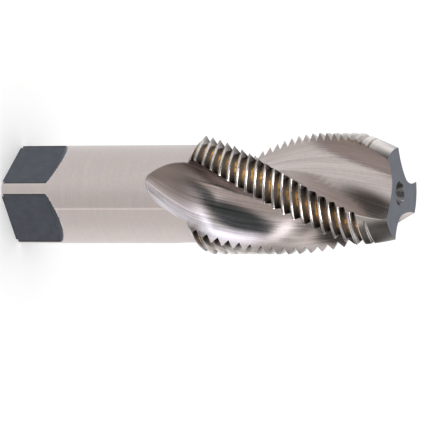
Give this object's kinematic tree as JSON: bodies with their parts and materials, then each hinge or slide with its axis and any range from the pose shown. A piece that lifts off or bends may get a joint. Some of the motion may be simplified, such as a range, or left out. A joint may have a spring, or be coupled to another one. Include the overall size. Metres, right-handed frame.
{
  "type": "thread tap",
  "caption": "Spiral-flute machine tap with a taper lead, a round shank and a driving square, for cutting an internal thread in a drilled hole.",
  "frame": {"origin": "centre of the flat square end, on the tap's axis; the tap stands on this end because it would roll lying down", "axes": "+Z along the tap's axis towards the cutting end; X and Y square to the flats of the driving square"},
  "size_m": [0.022, 0.022, 0.075],
  "materials": {
    "steel": "ground satin steel, with slate-dark flats on the square and a blue-grey cutting end"
  },
  "bodies": {
    "root": {"thread_tap": "steel"}
  },
  "joints": []
}
